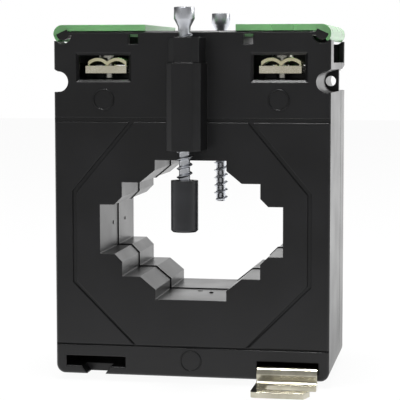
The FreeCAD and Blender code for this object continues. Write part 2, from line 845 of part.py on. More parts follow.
def build_clamp(side, face, tag):
    """Saddle with an arch for a wire on each side of its screw."""
    centre_x = "%d * terminal_out" % side
    y = centred("%d * clamp_out" % face, "clamp_depth")
    half_chord = "(clamp_width / 4 - clamp_land / 2)"
    radius = "((%s^2 + arch_rise^2) / (2 * arch_rise))" % half_chord
    centre_z = "(%s + arch_rise - %s)" % (STRIP_TOP, radius)
    outer = []
    inner = []
    for arch in (-1, 1):
        base = ("%s + %d * clamp_width / 4" % (centre_x, arch), y[0], centre_z)
        name = "%s_%s" % (tag, "left" if arch < 0 else "right")
        outer.append(round_bar("arch_outer_" + name, "y", base, radius + " + clamp_thick", "clamp_depth"))
        inner.append(round_bar("arch_inner_" + name, "y", base, radius, "clamp_depth"))
    limit_z = (STRIP_TOP, HEAD_SEAT + " + overrun")
    limits = box("clamp_limits_" + tag, centred(centre_x, "clamp_width"), y, limit_z)
    solid = common("clamp_solid_" + tag, fuse("arches_" + tag, outer), limits)
    hole_base = (centre_x, "%d * clamp_out" % face, STRIP_TOP + " - overrun")
    length = "arch_rise + clamp_thick + 2 * overrun"
    hole = round_bar("clamp_hole_" + tag, "z", hole_base, "clamp_screw / 2 + loose_fit", length)
    labelled(cut("clamp_cut_" + tag, solid, inner + [hole]), "clamp_plate_" + tag)


def cross_loop():
    """Outline of a cross recess."""
    arm = "drive_length / 2"
    rib = "drive_width / 2"
    corner = [(arm, rib), (rib, rib), (rib, arm)]
    points = []
    for across, along in ((1, 1), (-1, 1), (-1, -1), (1, -1)):
        order = corner if across * along > 0 else corner[::-1]
        for x, y in order:
            points.append((x if across > 0 else negative(x), y if along > 0 else negative(y)))
    return points


def build_clamp_screw(side, face, tag):
    shank = "clamp_screw / 2"
    head = "clamp_head / 2"
    profile = [
        ("0", "-clamp_screw_long"),
        (shank, "-clamp_screw_long"),
        (shank, "0"),
        (head, "0"),
        (head, "clamp_head_high"),
        ("0", "clamp_head_high"),
    ]
    body = turned("terminal_screw_" + tag, [profile])
    pocketed(body, "drive_" + tag, cross_loop(), "clamp_head_high", "drive_depth")
    place(body, "%d * terminal_out" % side, "%d * clamp_out" % face, HEAD_SEAT)


def build_lead(side, tag):
    x = on_side(side, LEAD_X, LEAD_X)[0]
    start = LEAD_Z + " + seat_gap"
    length = "%s + strip_lift - (%s)" % (BAY_FLOOR, start)
    lead = round_bar("lead_wire_" + tag, "z", (x, "0", start), "lead_width / 2", length)
    labelled(lead, "lead_" + tag)


# Hinged covers over the terminal bays

def gap_points(side):
    """Sector of the barrel that stays open for the hinge web."""
    points = [("0", "0")]
    steps = 4
    for step in range(steps + 1):
        angle = "(hinge_gap_start + (hinge_gap_end - hinge_gap_start) * %d / %d)" % (step, steps)
        points.append(("2 * %s * cos(%s)" % (BARREL, angle), "2 * %s * sin(%s)" % (BARREL, angle)))
    return [("%d * (%s + %s)" % (side, HINGE_X, x), "%s + %s" % (HINGE_Z, z)) for x, z in points]


def build_cover(side, tag):
    x = on_side(side, HINGE_X, HINGE_X)[0]
    start = (x, negative(FACE), HINGE_Z)
    barrel = round_bar("barrel_" + tag, "y", start, BARREL, "housing_depth")
    over = (negative(FACE) + " - overrun", FACE + " + overrun")
    gap = prism("barrel_gap_" + tag, "XZ", gap_points(side), over[0], over[1])
    hook = cut("barrel_hook_" + tag, barrel, [gap])
    plate_x = on_side(side, "cover_inner", HINGE_X)
    plate = box("cover_plate_" + tag, plate_x, (negative(FACE), FACE), (TOP, TOP + " + cover_thick"))
    pieces = [hook, plate]
    for face in (-1, 1):
        y = on_side(face, INSIDE + " - loose_fit - leg_thick", INSIDE + " - loose_fit")
        leg_x = centred("%d * latch_out" % side, "latch_width - 2 * loose_fit")
        leg_z = (TOP + " - leg_long", TOP + " + cover_thick / 2")
        pieces.append(box("cover_leg_%s_%s" % (tag, face_name(face)), leg_x, y, leg_z))
    whole = fuse("cover_whole_" + tag, pieces)
    bore_start = (x, over[0], HINGE_Z)
    bore_length = "housing_depth + 2 * overrun"
    bores = [round_bar("barrel_bore_" + tag, "y", bore_start, "hinge_rod / 2 + rod_fit", bore_length)]
    for face in (-1, 1):
        end = (x, on_side(face, INSIDE + " - cover_fit", FACE + " + overrun")[0], HINGE_Z)
        name = "boss_bore_%s_%s" % (tag, face_name(face))
        bores.append(round_bar(name, "y", end, "hinge_boss / 2 + rod_fit", "wall + cover_fit + overrun"))
    labelled(cut("cover_cut_" + tag, whole, bores), "cover_" + tag)


# Bar screws, cap and foot brackets

def build_bar_screw(face):
    shank = "screw_shank / 2"
    head = "screw_head / 2"
    under_cone = "-(screw_head_high + screw_cone)"
    profile = [
        ("0", "-screw_long"),
        (shank, "-screw_long"),
        (shank, under_cone + " - neck_run"),
        ("screw_neck / 2", under_cone + " - neck_run"),
        ("screw_neck / 2", under_cone),
        (head, "-screw_head_high"),
        (head, "0"),
        ("0", "0"),
    ]
    tag = face_name(face)
    body = turned("bar_screw_" + tag, [profile])
    across = "screw_head / 2 + overrun"
    slot = [
        (negative(across), "-slot_width / 2"),
        (across, "-slot_width / 2"),
        (across, "slot_width / 2"),
        (negative(across), "slot_width / 2"),
    ]
    pocketed(body, "slot_" + tag, slot, "0", "slot_depth")
    place(body, "0", on_side(face, SCREW_Y, SCREW_Y)[0], TOP + " + screw_rise")


def build_cap():
    bore = "screw_shank / 2 + loose_fit"
    wide = "cap_width / 2"
    profile = [
        ("0", "0"),
        (wide + " - cap_bevel", "0"),
        (wide, "cap_bevel"),
        (wide, "cap_long"),
        (bore, "cap_long"),
        (bore, "cap_floor"),
        ("0", "cap_floor"),
    ]
    body = turned("screw_cap", [profile])
    place(body, "0", negative(SCREW_Y), TOP + " + screw_rise - screw_long - seat_gap - cap_floor")


def build_foot(side, face):
    """Folded foot: a leg in the pocket, a drop past the lip and a slotted flange."""
    tag = face_name(face)
    near = "(housing_depth / 2 + seat_gap)"
    low = POCKET_Z
    points = [
        (FACE + " - foot_insert", low),
        (FACE + " - foot_insert", low + " + foot_sheet"),
        (near + " + foot_sheet", low + " + foot_sheet"),
        (near + " + foot_sheet", "foot_sheet"),
        (FACE + " + foot_reach", "foot_sheet"),
        (FACE + " + foot_reach", "0"),
        (near, "0"),
        (near, low),
    ]
    if face < 0:
        points = [(negative(y), z) for y, z in points]
    x = on_side(side, "foot_inner", "foot_inner + foot_width")
    sheet_body = prism("foot_sheet_" + tag, "YZ", points, x[0], x[1])
    plane_out = size("housing_depth") / 2 + size("seat_gap")
    thick = size("foot_sheet")
    high = size("foot_drop") + size("pocket_rise")
    far = size("housing_depth") / 2 + size("foot_reach")

    def fold_at(out, level):
        def choose(edge):
            at = middle(edge)
            return runs_along(edge, "x") and abs(abs(at.y) - out) < 0.01 and abs(at.z - level) < 0.01
        return choose

    def flange_corner(edge):
        return runs_along(edge, "z") and abs(abs(middle(edge).y) - far) < 0.01

    inside = size("foot_bend")
    choices = [
        (fold_at(plane_out, high), inside),
        (fold_at(plane_out + thick, thick), inside),
        (fold_at(plane_out + thick, high + thick), inside + thick),
        (fold_at(plane_out, 0), inside + thick),
        (flange_corner, size("foot_corner")),
    ]
    folded = eased("Part::Fillet", "foot_folded_" + tag, sheet_body, choices)
    slot_end = "foot_inner + foot_slot_start + foot_slot_width / 2"
    slot_y = "%d * (%s + foot_slot_out)" % (face, FACE)
    through = ("-overrun", "foot_sheet + overrun")
    slot_x = on_side(side, slot_end, "foot_inner + foot_width + overrun")
    slot = box("foot_slot_" + tag, slot_x, centred(slot_y, "foot_slot_width"), through)
    end_base = (on_side(side, slot_end, slot_end)[0], slot_y, through[0])
    end_high = "foot_sheet + 2 * overrun"
    end = round_bar("foot_slot_end_" + tag, "z", end_base, "foot_slot_width / 2", end_high)
    outer = "(foot_inner + foot_width)"
    far_edge = "(%s + foot_reach)" % FACE
    slant_points = [
        (outer, FACE + " + foot_slot_out"),
        (outer + " + overrun", FACE + " + foot_slot_out"),
        (outer + " + overrun", far_edge + " + overrun"),
        (outer + " - foot_slant", far_edge + " + overrun"),
    ]
    slant_points = [("%d * (%s)" % (side, x), "%d * (%s)" % (face, y)) for x, y in slant_points]
    slant = prism("foot_slant_" + tag, "XY", slant_points, through[0], through[1])
    labelled(cut("foot_cut_" + tag, folded, [slot, end, slant]), "foot_bracket_" + tag)


NODES = ["front_shell", "rear_shell", "core", "core_wrap", "secondary_winding", "winding_tape", "screw_cap"]


def build_all():
    build_housing()
    build_ring()
    for side, tag in ((-1, "s1"), (1, "s2")):
        build_strip(side, tag)
        build_lead(side, tag)
        build_cover(side, tag)
        NODES.extend(["terminal_bar_" + tag, "lead_" + tag, "cover_" + tag])
        for face in (-1, 1):
            place_tag = tag + "_" + face_name(face)
            build_clamp(side, face, place_tag)
            build_clamp_screw(side, face, place_tag)
            NODES.extend(["clamp_plate_" + place_tag, "terminal_screw_" + place_tag])
    build_cap()
    for side, face in ((1, -1), (-1, 1)):
        build_bar_screw(face)
        build_foot(side, face)
        NODES.extend(["bar_screw_" + face_name(face), "foot_bracket_" + face_name(face)])


def check_document():
    """Stop before writing if any object failed to build."""
    for item in doc.Objects:
        if "Invalid" in item.State or "Error" in item.State:
            raise RuntimeError("%s failed: %s" % (item.Name, item.State))
    for label in NODES:
        shape = doc.getObjectsByLabel(label)[0].Shape
        if shape.isNull() or not shape.isValid():
            raise RuntimeError(label + " has no valid shape")


def export_nodes():
    os.makedirs("parts", exist_ok=True)
    for label in NODES:
        shape = doc.getObjectsByLabel(label)[0].Shape
        shape.exportStep("parts/%s.step" % label)
        extent = shape.BoundBox
        print("%-26s solids %d  volume %9.1f  box %.1f %.1f %.1f to %.1f %.1f %.1f" % (
            label, len(shape.Solids), shape.Volume,
            extent.XMin, extent.YMin, extent.ZMin, extent.XMax, extent.YMax, extent.ZMax,
        ))


build_all()
doc.recompute()
check_document()
export_nodes()
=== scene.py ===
from math import cos, pi, radians, sin

import bmesh
import bpy
import numpy as np
from mathutils import Matrix, Vector


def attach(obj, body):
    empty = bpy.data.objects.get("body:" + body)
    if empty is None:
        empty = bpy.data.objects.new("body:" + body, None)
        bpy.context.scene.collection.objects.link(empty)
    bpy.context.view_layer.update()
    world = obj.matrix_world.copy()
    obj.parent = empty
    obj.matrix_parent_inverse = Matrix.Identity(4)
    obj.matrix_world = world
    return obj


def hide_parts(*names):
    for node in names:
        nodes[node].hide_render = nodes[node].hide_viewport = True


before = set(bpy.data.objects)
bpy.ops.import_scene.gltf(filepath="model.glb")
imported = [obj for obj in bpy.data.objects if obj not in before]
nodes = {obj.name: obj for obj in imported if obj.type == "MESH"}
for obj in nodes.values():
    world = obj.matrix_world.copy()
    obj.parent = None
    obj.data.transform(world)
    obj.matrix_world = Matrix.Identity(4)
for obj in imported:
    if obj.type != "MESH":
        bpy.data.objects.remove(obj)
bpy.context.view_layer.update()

mm = 0.001
windowZ = 68.5 * mm    # middle of the window above the plate under the feet
faceY = 34.25 * mm     # half the depth of the case
print("frame loaded:", len(nodes), "nodes")


# Small tools

def toLinear(hexColour):
    # sRGB hex to the linear values that shaders take
    parts = [int(hexColour[i:i + 2], 16) / 255 for i in (1, 3, 5)]
    return [c / 12.92 if c <= 0.04045 else ((c + 0.055) / 1.055) ** 2.4 for c in parts] + [1.0]


def addNode(tree, kind, inputs=None, stops=(), **settings):
    # one node with its settings, its values and the links into it; a ramp has (position, colour) stops
    node = tree.nodes.new(kind)
    for name, value in settings.items():
        setattr(node, name, value)
    for name, value in (inputs or {}).items():
        if isinstance(value, bpy.types.NodeSocket):
            tree.links.new(value, node.inputs[name])
        else:
            node.inputs[name].default_value = value
    if stops:
        elements = node.color_ramp.elements
        while len(elements) < len(stops):
            elements.new(0.5)
        for element, (position, colour) in zip(elements, stops):
            element.position = position
            element.color = toLinear(colour)
    return node


def newMaterial(name):
    material = bpy.data.materials.new(name)
    material.use_nodes = True
    material.node_tree.nodes.clear()
    return material, material.node_tree


def gridMesh(name, points, closeAround=False, closeAlong=False):
    # quads over a grid of points, rows x columns x 3; a row of equal points makes a closed pole
    rows, columns = points.shape[:2]
    lastRow = rows if closeAlong else rows - 1
    lastColumn = columns if closeAround else columns - 1
    r, c = np.meshgrid(np.arange(lastRow), np.arange(lastColumn), indexing="ij")
    right, down = (c + 1) % columns, (r + 1) % rows
    quads = np.stack([
        r * columns + c, r * columns + right, down * columns + right, down * columns + c], axis=-1)
    mesh = bpy.data.meshes.new(name)
    mesh.from_pydata(points.reshape(-1, 3).tolist(), [], quads.reshape(-1, 4).tolist())
    return mesh


weldMm, tinyMm = 0.002, 0.001    # points nearer than this are one; edges shorter than this go


def addPiece(mesh, material, smoothAngle=35):
    # merges poles and seams, turns the faces outwards and puts the mesh into the scene
    bm = bmesh.new()
    bm.from_mesh(mesh)
    bmesh.ops.remove_doubles(bm, verts=bm.verts, dist=weldMm * mm)
    bmesh.ops.dissolve_degenerate(bm, edges=bm.edges, dist=tinyMm * mm)
    bmesh.ops.recalc_face_normals(bm, faces=bm.faces)
    bm.to_mesh(mesh)
    bm.free()
    piece = bpy.data.objects.new(mesh.name, mesh)
    bpy.context.scene.collection.objects.link(piece)
    mesh.materials.append(material)
    mesh.shade_smooth()
    mesh.set_sharp_from_angle(angle=radians(smoothAngle))
    return piece


# Materials

caseLook = {
    "colour": "#121213",
    "paleColour": "#19191b",
    "grainMm": 0.55,      # spark-eroded grain is nearer 0.1 mm; drawn coarser so that it shows
    "grainDepthMm": 0.012,
    "cloudMm": 26,        # faint handling marks and flow clouds
    "edgeMm": 0.8,        # rounding that a mould leaves on every edge
    "paintedShadeMm": 0.9,      # how far the painted shade of a groove or corner reaches round it
    # share of the shine that the painted shade takes away where a place is most shut in
    "paintedShadeShare": 0.75,
    "shine": 0.33,        # the grain scatters part of the mirrored light
    "smooth": 0.30, "dull": 0.38,    # roughness of the smoothest and the dullest spots
}
capLook = {
    "colour": "#1d1e21", "paleColour": "#27282c", "grainMm": 0.4, "grainDepthMm": 0.006, "cloudMm": 9,
    "edgeMm": 0.5, "paintedShadeMm": 1.0, "paintedShadeShare": 0.4, "shine": 0.45, "smooth": 0.30, "dull": 0.38,
}
leadLook = {
    "colour": "#1d1d1f", "paleColour": "#29292b", "grainMm": 0.5, "grainDepthMm": 0.004, "cloudMm": 8,
    "edgeMm": 0.2, "paintedShadeMm": 0.6, "paintedShadeShare": 0.4, "shine": 0.4, "smooth": 0.35, "dull": 0.45,
}
shutRoom, openRoom = 0.45, 0.75    # shares of free room at which a place counts as shut in, or as open, for the painted shade
mostNoise = {"From Min": 0.3, "From Max": 0.7}    # noise values lie mostly between these


def mouldedPlastic(name, look):
    # Glass-filled polycarbonate or nylon from a spark-eroded mould, or the insulation of a lead: deep colour,
    # fine even grain and a soft, low shine that grows pale at a low angle, with painted shade dimming the
    # shine in grooves and corners
    material, tree = newMaterial(name)
    place = addNode(tree, "ShaderNodeTexCoord").outputs["Object"]
    cloud = addNode(tree, "ShaderNodeTexNoise", {
        "Vector": place, "Scale": 1 / (look["cloudMm"] * mm), "Detail": 3.0})
    grain = addNode(tree, "ShaderNodeTexNoise", {
        "Vector": place, "Scale": 1 / (look["grainMm"] * mm), "Detail": 2.0, "Roughness": 0.6})
    colour = addNode(tree, "ShaderNodeValToRGB", {"Fac": cloud.outputs["Fac"]}, [
        (0.35, look["colour"]), (0.75, look["paleColour"])])
    roughness = addNode(tree, "ShaderNodeMapRange", {
        "Value": cloud.outputs["Fac"], **mostNoise, "To Min": look["smooth"], "To Max": look["dull"]})
    # painted shade: ambient occlusion dims the shine in grooves and corners, where shade falls
    paintedShadeAo = addNode(tree, "ShaderNodeAmbientOcclusion", {"Distance": look["paintedShadeMm"] * mm}, samples=8)
    unshadedShare = addNode(tree, "ShaderNodeMapRange", {
        "Value": paintedShadeAo.outputs["AO"], "From Min": shutRoom, "From Max": openRoom,
        "To Min": 1 - look["paintedShadeShare"], "To Max": 1.0})
    shine = addNode(tree, "ShaderNodeMath", {
        0: unshadedShare.outputs["Result"], 1: look["shine"]}, operation="MULTIPLY")
    edge = addNode(tree, "ShaderNodeBevel", {"Radius": look["edgeMm"] * mm}, samples=6)
    bump = addNode(tree, "ShaderNodeBump", {
        "Height": grain.outputs["Fac"], "Distance": look["grainDepthMm"] * mm, "Strength": 0.5,
        "Normal": edge.outputs["Normal"]})
    shader = addNode(tree, "ShaderNodeBsdfPrincipled", {
        "Base Color": colour.outputs["Color"],
        "Roughness": roughness.outputs["Result"],
        "IOR": 1.55,
        "Specular IOR Level": shine.outputs[0],
        "Normal": bump.outputs["Normal"],
    })
    addNode(tree, "ShaderNodeOutputMaterial", {"Surface": shader.outputs[0]})
    return material


coverLook = {
    "colour": "#8fc98d",
    "deepColour": "#85c284",
    "cloudMm": 14,
    "grainMm": 0.8,
    "grainDepthMm": 0.004,
    "edgeMm": 0.35,
    "smooth": 0.26, "dull": 0.34,
    "shine": 0.25,
    "clear": 0.45,                       # share of the light that passes through
    "glow": 0.2, "glowMm": 3,            # share that wanders inside, and how far
    "glowReach": (0.2, 1.0, 0.25),       # its reach as red, green and blue
}


def tintedPolycarbonate(look):
    # Clear polycarbonate tinted green and injection moulded: light passes into it and it glows at its
    # edges, under a satin outer skin
    material, tree = newMaterial("GreenTintedPolycarbonate")
    place = addNode(tree, "ShaderNodeTexCoord").outputs["Object"]
    cloud = addNode(tree, "ShaderNodeTexNoise", {
        "Vector": place, "Scale": 1 / (look["cloudMm"] * mm), "Detail": 2.0})
    grain = addNode(tree, "ShaderNodeTexNoise", {
        "Vector": place, "Scale": 1 / (look["grainMm"] * mm), "Detail": 1.0})
    colour = addNode(tree, "ShaderNodeValToRGB", {"Fac": cloud.outputs["Fac"]}, [
        (0.3, look["deepColour"]), (0.7, look["colour"])])
    roughness = addNode(tree, "ShaderNodeMapRange", {
        "Value": cloud.outputs["Fac"], **mostNoise, "To Min": look["smooth"], "To Max": look["dull"]})
    edge = addNode(tree, "ShaderNodeBevel", {"Radius": look["edgeMm"] * mm}, samples=6)
    bump = addNode(tree, "ShaderNodeBump", {
        "Height": grain.outputs["Fac"], "Distance": look["grainDepthMm"] * mm, "Strength": 0.3,
        "Normal": edge.outputs["Normal"]})
    shader = addNode(tree, "ShaderNodeBsdfPrincipled", {
        "Base Color": colour.outputs["Color"],
        "Roughness": roughness.outputs["Result"],
        "IOR": 1.58,
        "Specular IOR Level": look["shine"],
        "Transmission Weight": look["clear"],
        "Subsurface Weight": look["glow"],
        "Subsurface Radius": look["glowReach"],
        "Subsurface Scale": look["glowMm"] * mm,
        "Normal": bump.outputs["Normal"],
    })
    addNode(tree, "ShaderNodeOutputMaterial", {"Surface": shader.outputs[0]})
    return material


platedLook = {
    "cloudMm": 7,            # patches of thicker and thinner plating
    "brushDepthMm": 0.006,
    "spread": 0.07,          # how far the roughness goes up and down from line to line
}


def platedMetal(name, colour, tint, roughness, brushMm, stretch, edgeMm=0.25, look=platedLook):
    # Electroplated metal: bright, with fine drawing or rolling lines left from the stock under the plating.
    # brushMm is the width of a line and stretch how much longer it runs along each axis.
    material, tree = newMaterial(name)
    place = addNode(tree, "ShaderNodeTexCoord").outputs["Object"]
    lines = addNode(tree, "ShaderNodeMapping", {"Vector": place, "Scale": [1 / s for s in stretch]})
    brush = addNode(tree, "ShaderNodeTexNoise", {
        "Vector": lines.outputs["Vector"], "Scale": 1 / (brushMm * mm), "Detail": 3.0})
    cloud = addNode(tree, "ShaderNodeTexNoise", {
        "Vector": place, "Scale": 1 / (look["cloudMm"] * mm), "Detail": 2.0})
    tone = addNode(tree, "ShaderNodeValToRGB", {"Fac": cloud.outputs["Fac"]}, [(0.3, tint), (0.7, colour)])
    shade = addNode(tree, "ShaderNodeMapRange", {
        "Value": brush.outputs["Fac"], **mostNoise,
        "To Min": roughness - look["spread"], "To Max": roughness + look["spread"]})
    edge = addNode(tree, "ShaderNodeBevel", {"Radius": edgeMm * mm}, samples=6)
    bump = addNode(tree, "ShaderNodeBump", {
        "Height": brush.outputs["Fac"], "Distance": look["brushDepthMm"] * mm, "Strength": 0.4,
        "Normal": edge.outputs["Normal"]})
    shader = addNode(tree, "ShaderNodeBsdfPrincipled", {
        "Base Color": tone.outputs["Color"],
        "Metallic": 1.0,
        "Roughness": shade.outputs["Result"],
        "Normal": bump.outputs["Normal"],
    })
    addNode(tree, "ShaderNodeOutputMaterial", {"Surface": shader.outputs[0]})
    return material


def aroundRing(tree):
    # angle and distance about the ring's axis
    place = addNode(tree, "ShaderNodeTexCoord").outputs["Object"]
    centred = addNode(tree, "ShaderNodeMapping", {"Vector": place, "Location": (0, 0, -windowZ)})
    parts = addNode(tree, "ShaderNodeSeparateXYZ", {"Vector": centred.outputs["Vector"]})
    angle = addNode(tree, "ShaderNodeMath", {
        0: parts.outputs["Z"], 1: parts.outputs["X"]}, operation="ARCTAN2")
    flat = addNode(tree, "ShaderNodeCombineXYZ", {"X": parts.outputs["X"], "Z": parts.outputs["Z"]})
    distance = addNode(tree, "ShaderNodeVectorMath", {0: flat.outputs["Vector"]}, operation="LENGTH")
    return angle.outputs[0], distance.outputs["Value"]


def ridged(tree, value, count):
    # even ridges across a value, count of them for each unit
    scaled = addNode(tree, "ShaderNodeMath", {0: value, 1: count * 2 * pi}, operation="MULTIPLY")
    return addNode(tree, "ShaderNodeMath", {0: scaled.outputs[0]}, operation="SINE").outputs[0]


layerLook = {
    "cloudMm": 9,
    "spread": 0.06,          # how far the roughness goes up and down
    "tapeIor": 1.5,
}


def woundLayer(name, colour, pale, depthMm, metallic, roughness, turns=None, stripMm=None, look=layerLook):
    # A layer wound on the ring: so many turns of wire or tape side by side, or the edges of a steel strip,
    # drawn thicker than the real one so that they show
    material, tree = newMaterial(name)
    angle, distance = aroundRing(tree)
    waves = ridged(tree, angle, turns / (2 * pi)) if turns else ridged(tree, distance, 1 / (stripMm * mm))
    place = addNode(tree, "ShaderNodeTexCoord").outputs["Object"]
    cloud = addNode(tree, "ShaderNodeTexNoise", {
        "Vector": place, "Scale": 1 / (look["cloudMm"] * mm), "Detail": 3.0})
    tone = addNode(tree, "ShaderNodeValToRGB", {"Fac": cloud.outputs["Fac"]}, [(0.3, colour), (0.7, pale)])
    shade = addNode(tree, "ShaderNodeMapRange", {
        "Value": cloud.outputs["Fac"], **mostNoise,
        "To Min": roughness - look["spread"], "To Max": roughness + look["spread"]})
    bump = addNode(tree, "ShaderNodeBump", {"Height": waves, "Distance": depthMm * mm, "Strength": 0.6})
    shader = addNode(tree, "ShaderNodeBsdfPrincipled", {
        "Base Color": tone.outputs["Color"],
        "Metallic": metallic,
        "Roughness": shade.outputs["Result"],
        "Normal": bump.outputs["Normal"],
    })
    if not metallic:
        shader.inputs["IOR"].default_value = look["tapeIor"]
    addNode(tree, "ShaderNodeOutputMaterial", {"Surface": shader.outputs[0]})
    return material


caseBlack = mouldedPlastic("BlackMouldedPolycarbonate", caseLook)
lipBlack = mouldedPlastic("BlackMouldedPolycarbonateSharpEdged", {**caseLook, "edgeMm": 0.15})
capBlack = mouldedPlastic("BlackMouldedNylon", capLook)
leadBlack = mouldedPlastic("BlackLeadInsulation", leadLook)
coverGreen = tintedPolycarbonate(coverLook)
barNickel = platedMetal(
    "NickelPlatedBrass", "#f2ecd8", "#ded7bf", roughness=0.24, brushMm=0.25, stretch=(1, 30, 1))
clampNickel = platedMetal(
    "NickelPlatedSteelStamping", "#f6f0ce", "#e2dbb4", roughness=0.22, brushMm=0.25, stretch=(1, 20, 1))
screwNickel = platedMetal(
    "NickelPlatedScrewSteel", "#cfcdc4", "#b9b7ad", roughness=0.27, brushMm=0.3, stretch=(1, 1, 1))
screwZinc = platedMetal(
    "ZincPlatedSteel", "#d6d8dc", "#bfc2c9", roughness=0.33, brushMm=0.3, stretch=(1, 1, 6))
footNickel = platedMetal(
    "NickelPlatedSheetSteel", "#c4c0b0", "#a9a594", roughness=0.17, brushMm=0.3, stretch=(30, 1, 1),
    edgeMm=0.35)
copperTurns = woundLayer(
    "EnamelledCopperWire", "#9c4a20", "#b8642e", depthMm=0.25, metallic=1.0, roughness=0.3, turns=150)
tapeTurns = woundLayer(
    "PolyesterTape", "#cdb765", "#dccb84", depthMm=0.12, metallic=0.0, roughness=0.35, turns=26)
stripTurns = woundLayer(
    "WoundSiliconSteelStrip", "#6e6f72", "#85868a", depthMm=0.05, metallic=1.0, roughness=0.42, stripMm=0.5)

nodeFinish = {
    "front_shell": caseBlack, "rear_shell": caseBlack, "screw_cap": capBlack,
    "core": stripTurns, "core_wrap": tapeTurns, "secondary_winding": copperTurns, "winding_tape": tapeTurns,
    "bar_screw": screwZinc, "foot_bracket": footNickel, "cover": coverGreen, "lead": leadBlack,
    "terminal_bar": barNickel, "terminal_screw": screwNickel, "clamp_plate": clampNickel,
}
for name, node in nodes.items():
    finish = nodeFinish[max((key for key in nodeFinish if name.startswith(key)), key=len)]
    node.data.materials.clear()
    node.data.materials.append(finish)
print("materials on", len(nodes), "nodes")


# Bar screws with their coarse thread

barScrew = {
    "outMm": 47.75,        # screw axis from the middle of the case
    "topMm": 166.0,
    "longMm": 91.5,
    "headMm": 9.0,         # diameters
    "headHighMm": 5.2,
    "coneMm": 3.2,
    "neckMm": 5.4,
    "neckRunMm": 1.5,
    "crestMm": 6.9,
    "rootMm": 4.8,
    "pitchMm": 3.7,
    "slotWideMm": 1.6,
    "slotDeepMm": 2.4,
    "slotPastMm": 1,       # how far the slot's cutter runs out over the head
    "slotTurn": 10,        # degrees, how far round the screws happen to stand
    "fadeMm": 1.2,         # run over which the thread grows and dies at its ends
    "stepMm": 0.01,        # from the thread's last ring to the neck's first
    # fractions of a turn at which root, flank, crest and flank begin and end, and how far out each one is
    "toothAt": [0, 0.45, 0.6, 0.68, 0.83, 1],
    "toothOut": [0, 0, 1, 1, 0, 0],
    # small rounding of the head: how far in from its side and how far above its underside, or below its top
    "headUnderMm": [(0.15, -0.1), (0, 0.15)],
    "headTopMm": [(0, 0.35), (0.1, 0.1), (0.35, 0)],
    "aroundCount": 48, "levelCount": 420,
}


def threadedScrew(name, y, s):
    # Surface in angle a and height z. Over the thread the radius follows the fraction f of a turn,
    # z / pitch - a / (2 pi): a flat root, a straight flank, a flat crest and a flank back.
    low, top = s["topMm"] - s["longMm"], s["topMm"]
    count = s["aroundCount"]
    around = np.linspace(0, 2 * pi, count, endpoint=False)
    neckTop = top - s["headHighMm"] - s["coneMm"]
    threadTop = neckTop - s["neckRunMm"]
    levels = np.linspace(low, threadTop, s["levelCount"])
    a, z = np.meshgrid(around, levels)
    f = (z / s["pitchMm"] - a / (2 * pi)) % 1
    tooth = np.interp(f, s["toothAt"], s["toothOut"])
    fade = np.clip((z - low) / s["fadeMm"], 0, 1) * np.clip((threadTop - z) / s["fadeMm"], 0, 1)
    root, crest = s["rootMm"] / 2, s["crestMm"] / 2
    radius = root + (crest - root) * tooth * fade
    # neck, cone and head as (radius, height) pairs up to the closed top
    head, neck = s["headMm"] / 2, s["neckMm"] / 2
    upper = [(neck, threadTop + s["stepMm"]), (neck, neckTop)]
    upper += [(head - inward, top - s["headHighMm"] + above) for inward, above in s["headUnderMm"]]
    upper += [(head - inward, top - below) for inward, below in s["headTopMm"]] + [(0, top)]
    radii = np.vstack([np.zeros(count), radius, [[r] * count for r, _ in upper]])
    heights = np.concatenate([[low], levels, [h for _, h in upper]])
    heights = np.repeat(heights[:, None], count, axis=1)
    turn = np.repeat(around[None, :], len(heights), axis=0)
    points = np.stack([radii * np.cos(turn), y + radii * np.sin(turn), heights], axis=-1) * mm
    screw = addPiece(gridMesh(name, points, closeAround=True), screwZinc, smoothAngle=40)
    # the slot, cut across the head
    past = s["slotPastMm"]
    across = np.array([[-1, -1, 0], [1, -1, 0], [1, 1, 0], [-1, 1, 0]])
    across = across * [head + past, s["slotWideMm"] / 2, 0]
    t = radians(s["slotTurn"])
    across = across @ [[cos(t), sin(t), 0], [-sin(t), cos(t), 0], [0, 0, 1]]
    box = np.stack([across + [0, y, top - s["slotDeepMm"]], across + [0, y, top + past]]) * mm
    middles = np.repeat(box.mean(axis=1, keepdims=True), 4, axis=1)
    closed = np.stack([middles[0], box[0], box[1], middles[1]])
    cutter = addPiece(gridMesh(name + "_slot_cutter", closed, closeAround=True), screwZinc)
    cut = screw.modifiers.new("slot", "BOOLEAN")
    cut.object, cut.operation, cut.solver = cutter, "DIFFERENCE", "EXACT"
    depsgraph = bpy.context.evaluated_depsgraph_get()
    slotted = bpy.data.meshes.new_from_object(screw.evaluated_get(depsgraph))
    screw.modifiers.clear()
    screw.data = slotted
    slotted.name = name
    bpy.data.objects.remove(cutter)
    return screw


for name, side in (("front", -1), ("rear", 1)):
    screw = threadedScrew("threaded_screw_" + name, side * barScrew["outMm"], barScrew)
    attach(screw, name + "_bar_screw")
    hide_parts("bar_screw_" + name)
    print("threaded screw", name, len(screw.data.vertices), "vertices")


# Ring marks moulded on the front face, and the nubs that pins left on the window walls

ringMark = {
    "radiusMm": 4.5,
    "wideMm": 0.7,
    "highMm": 0.5,
    "sunkMm": 0.02,
    "aroundCount": 64, "acrossCount": 7,
    "places": [(-39, 126.1), (39, 126.1), (0, 10.2)],    # middle, across and up
}
pinMark = {
    "sunkMm": 0.05,
    "aroundCount": 24,
    "shares": [1, 0.95, 0.85, 0.7, 0.5, 0.25, 0],    # of the radius, from the foot to the top
    # middle on the wall, way out of the wall, radius, height
    "places": [
        ((-41.0, -8.4, 68.9), (1, 0, 0), 1.0, 0.3), ((-41.0, 15.6, 68.5), (1, 0, 0), 0.9, 0.3),
        ((-0.8, -5.4, 37.5), (0, 0, 1), 1.3, 0.25), ((5.2, -10.2, 37.5), (0, 0, 1), 1.0, 0.5),
    ],
}


